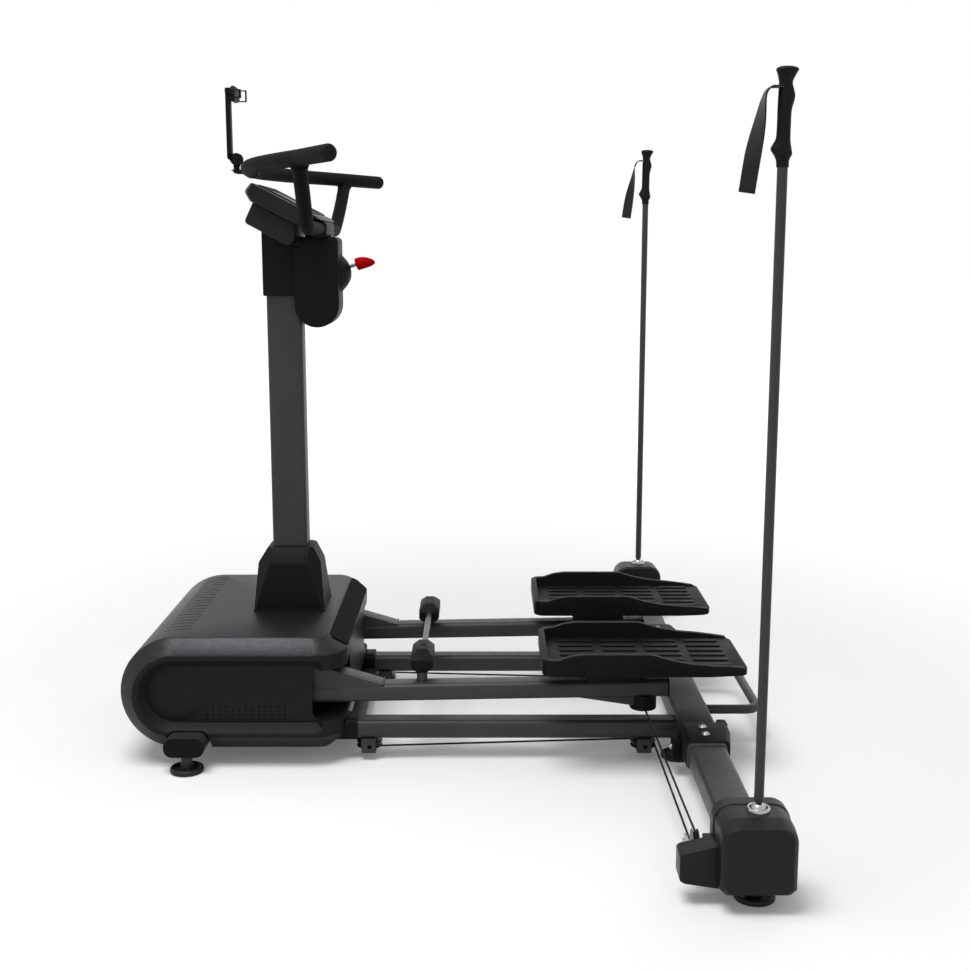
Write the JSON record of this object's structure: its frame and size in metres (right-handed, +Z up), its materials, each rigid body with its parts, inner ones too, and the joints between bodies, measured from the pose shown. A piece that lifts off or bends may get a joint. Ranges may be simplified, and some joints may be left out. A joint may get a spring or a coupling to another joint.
{
  "type": "ski simulator",
  "caption": "Slalom ski simulator with swinging foot pedals, rounded drive housing, mast with handlebar and console, wide rear beam and upright side poles.",
  "frame": {"origin": "on the floor, at the centre of the machine's footprint", "axes": "+Z up, +X to the rear of the machine where the user steps on, +Y to the user's right"},
  "size_m": [1.353, 1.85, 1.392],
  "materials": {
    "frame_paint": "satin black powder coat",
    "mast_paint": "satin graphite powder coat",
    "housing_plastic": "fine-grained charcoal with a slight sparkle",
    "panel_plastic": "near-black, fine grain",
    "black_plastic": "moulded, fine grain",
    "console_gloss": "semi-gloss",
    "pedal_plastic": "moulded with tread ribs",
    "grip_rubber": "matte foam and rubber",
    "foot_rubber": "matte",
    "knob_red": "gloss red",
    "chrome_metal": "polished",
    "pole_alloy": "dark anodised, satin",
    "webbing": "woven nylon",
    "cable_coat": "smooth coated cable",
    "pulley_plastic": "smooth nylon",
    "flywheel_iron": "machined",
    "brake_steel": "plated"
  },
  "bodies": {
    "base": {"main_frame": "frame_paint", "housing_shell": "housing_plastic", "side_cover_left": "panel_plastic", "side_cover_right": "panel_plastic", "mast": "mast_paint", "mast_boot": "housing_plastic", "mast_collar": "black_plastic", "console_back": "black_plastic", "console_face": "console_gloss", "handlebar": "mast_paint", "lever_pod": "black_plastic", "phone_clamp": "black_plastic", "rear_beam": "frame_paint", "beam_joint_left": "black_plastic", "beam_joint_right": "black_plastic", "outer_beam_left": "frame_paint", "outer_beam_right": "frame_paint", "pole_box_left": "black_plastic", "pole_box_right": "black_plastic", "long_cable_left": "cable_coat", "long_cable_right": "cable_coat", "arm_cable_left": "cable_coat", "arm_cable_right": "cable_coat"},
    "flywheel": {"flywheel": "flywheel_iron"},
    "drum_left": {"cable_drum_left": "pulley_plastic"},
    "drum_right": {"cable_drum_right": "pulley_plastic"},
    "brake": {"brake_shoe": "brake_steel"},
    "lever": {"shift_lever": "chrome_metal", "lever_knob": "knob_red"},
    "phone_arm": {"phone_arm": "black_plastic"},
    "phone_head": {"phone_head": "black_plastic"},
    "phone_jaw": {"phone_jaw": "black_plastic"},
    "foot_front_left": {"foot_front_left": "foot_rubber"},
    "foot_front_right": {"foot_front_right": "foot_rubber"},
    "foot_rear_left": {"foot_rear_left": "foot_rubber"},
    "foot_rear_right": {"foot_rear_right": "foot_rubber"},
    "foot_outer_left": {"foot_outer_left": "foot_rubber"},
    "foot_outer_right": {"foot_outer_right": "foot_rubber"},
    "box_pulley_left": {"box_pulley_left": "pulley_plastic"},
    "box_pulley_right": {"box_pulley_right": "pulley_plastic"},
    "front_pulley_left": {"front_pulley_left": "pulley_plastic"},
    "front_pulley_right": {"front_pulley_right": "pulley_plastic"},
    "rear_pulley_left": {"rear_pulley_left": "pulley_plastic"},
    "rear_pulley_right": {"rear_pulley_right": "pulley_plastic"},
    "ball_left": {"pole_ball_left": "chrome_metal"},
    "ball_right": {"pole_ball_right": "chrome_metal"},
    "pole_left": {"pole_shaft_left": "pole_alloy", "pole_grip_left": "grip_rubber", "wrist_strap_left": "webbing"},
    "pole_right": {"pole_shaft_right": "pole_alloy", "pole_grip_right": "grip_rubber", "wrist_strap_right": "webbing"},
    "arm_left": {"swing_arm_left": "frame_paint", "pedal_left": "pedal_plastic"},
    "arm_right": {"swing_arm_right": "frame_paint", "pedal_right": "pedal_plastic"},
    "link": {"link_bar": "black_plastic"}
  },
  "joints": [
    {"name": "arm_left_swing", "type": "hinge", "parent": "base", "child": "arm_left", "pos_m": [-0.345, -0.228, 0.15], "axis": [0, 0, 1], "range_deg": [-12, 12], "deforming": ["arm_cable_left"]},
    {"name": "arm_right_swing", "type": "hinge", "parent": "base", "child": "arm_right", "pos_m": [-0.345, 0.228, 0.15], "axis": [0, 0, 1], "range_deg": [-12, 12], "deforming": ["arm_cable_right"]},
    {"name": "link_pivot", "type": "hinge", "parent": "arm_left", "child": "link", "pos_m": [-0.055, -0.228, 0.208], "axis": [0, 0, 1], "range_deg": [-12, 12]},
    {"name": "flywheel_spin", "type": "hinge", "parent": "base", "child": "flywheel", "pos_m": [-0.545, 0, 0.168], "axis": [0, 1, 0], "continuous": true},
    {"name": "drum_left_spin", "type": "hinge", "parent": "base", "child": "drum_left", "pos_m": [-0.545, -0.05, 0.168], "axis": [0, 1, 0], "range_deg": [-190, 190]},
    {"name": "drum_right_spin", "type": "hinge", "parent": "base", "child": "drum_right", "pos_m": [-0.545, 0.05, 0.168], "axis": [0, 1, 0], "range_deg": [-190, 190]},
    {"name": "brake_swing", "type": "hinge", "parent": "base", "child": "brake", "pos_m": [-0.44, 0, 0.225], "axis": [0, 1, 0], "range_deg": [-4, 2]},
    {"name": "lever_tilt", "type": "hinge", "parent": "base", "child": "lever", "pos_m": [-0.255, 0, 1.0044], "axis": [0, 1, 0], "range_deg": [-20, 55]},
    {"name": "phone_arm_tilt", "type": "hinge", "parent": "base", "child": "phone_arm", "pos_m": [-0.45, 0, 1.243], "axis": [0, 1, 0], "range_deg": [-25, 25]},
    {"name": "phone_head_tilt", "type": "hinge", "parent": "phone_arm", "child": "phone_head", "pos_m": [-0.464, 0, 1.383], "axis": [0, 1, 0], "range_deg": [-25, 8]},
    {"name": "phone_jaw_slide", "type": "slide", "parent": "phone_head", "child": "phone_jaw", "axis": [0, -1, 0], "range_m": [0, 0.025], "stiffness_N_per_m": 100, "springref_m": -0.01},
    {"name": "foot_front_left_turn", "type": "hinge", "parent": "base", "child": "foot_front_left", "pos_m": [-0.535, -0.314, 0], "axis": [0, 0, 1], "continuous": true},
    {"name": "foot_front_right_turn", "type": "hinge", "parent": "base", "child": "foot_front_right", "pos_m": [-0.535, 0.314, 0], "axis": [0, 0, 1], "continuous": true},
    {"name": "foot_rear_left_turn", "type": "hinge", "parent": "base", "child": "foot_rear_left", "pos_m": [0.482, -0.235, 0], "axis": [0, 0, 1], "continuous": true},
    {"name": "foot_rear_right_turn", "type": "hinge", "parent": "base", "child": "foot_rear_right", "pos_m": [0.482, 0.235, 0], "axis": [0, 0, 1], "continuous": true},
    {"name": "foot_outer_left_turn", "type": "hinge", "parent": "base", "child": "foot_outer_left", "pos_m": [0.521, -0.862, 0], "axis": [0, 0, 1], "continuous": true},
    {"name": "foot_outer_right_turn", "type": "hinge", "parent": "base", "child": "foot_outer_right", "pos_m": [0.521, 0.862, 0], "axis": [0, 0, 1], "continuous": true},
    {"name": "front_pulley_left_spin", "type": "hinge", "parent": "base", "child": "front_pulley_left", "pos_m": [-0.167, -0.2265, 0.03], "axis": [0, 0, 1], "range_deg": [-410, 410]},
    {"name": "front_pulley_right_spin", "type": "hinge", "parent": "base", "child": "front_pulley_right", "pos_m": [-0.167, 0.2265, 0.03], "axis": [0, 0, 1], "range_deg": [-410, 410]},
    {"name": "rear_pulley_left_spin", "type": "hinge", "parent": "base", "child": "rear_pulley_left", "pos_m": [0.41, -0.2265, 0.03], "axis": [0, 0, 1], "range_deg": [-410, 410]},
    {"name": "rear_pulley_right_spin", "type": "hinge", "parent": "base", "child": "rear_pulley_right", "pos_m": [0.41, 0.2265, 0.03], "axis": [0, 0, 1], "range_deg": [-410, 410]},
    {"name": "box_pulley_left_spin", "type": "hinge", "parent": "base", "child": "box_pulley_left", "pos_m": [0.428, -0.815, 0.077], "axis": [1, 0, 0], "range_deg": [-495, 495]},
    {"name": "box_pulley_right_spin", "type": "hinge", "parent": "base", "child": "box_pulley_right", "pos_m": [0.428, 0.815, 0.077], "axis": [1, 0, 0], "range_deg": [-495, 495]},
    {"name": "pole_left_fore_aft", "type": "hinge", "parent": "base", "child": "ball_left", "pos_m": [0.521, -0.87, 0.158], "axis": [0, 1, 0], "range_deg": [-25, 25], "stiffness_Nm_per_rad": 14},
    {"name": "pole_left_side", "type": "hinge", "parent": "ball_left", "child": "pole_left", "pos_m": [0.521, -0.87, 0.158], "axis": [1, 0, 0], "range_deg": [-25, 25], "stiffness_Nm_per_rad": 14},
    {"name": "pole_right_fore_aft", "type": "hinge", "parent": "base", "child": "ball_right", "pos_m": [0.521, 0.87, 0.158], "axis": [0, 1, 0], "range_deg": [-25, 25], "stiffness_Nm_per_rad": 14},
    {"name": "pole_right_side", "type": "hinge", "parent": "ball_right", "child": "pole_right", "pos_m": [0.521, 0.87, 0.158], "axis": [1, 0, 0], "range_deg": [-25, 25], "stiffness_Nm_per_rad": 14}
  ],
  "couplings": [
    {"joint": "arm_right_swing", "follows": "arm_left_swing", "ratio": 1},
    {"joint": "link_pivot", "follows": "arm_left_swing", "ratio": -1},
    {"joint": "drum_left_spin", "follows": "arm_left_swing", "ratio": -15.66},
    {"joint": "drum_right_spin", "follows": "arm_left_swing", "ratio": 15.66},
    {"joint": "front_pulley_left_spin", "follows": "arm_left_swing", "ratio": 33.5},
    {"joint": "front_pulley_right_spin", "follows": "arm_left_swing", "ratio": 33.5},
    {"joint": "rear_pulley_left_spin", "follows": "arm_left_swing", "ratio": -33.5},
    {"joint": "rear_pulley_right_spin", "follows": "arm_left_swing", "ratio": -33.5},
    {"joint": "box_pulley_left_spin", "follows": "arm_left_swing", "ratio": -40.75},
    {"joint": "box_pulley_right_spin", "follows": "arm_left_swing", "ratio": -40.75},
    {"joint": "brake_swing", "follows": "lever_tilt", "ratio": -0.06}
  ]
}
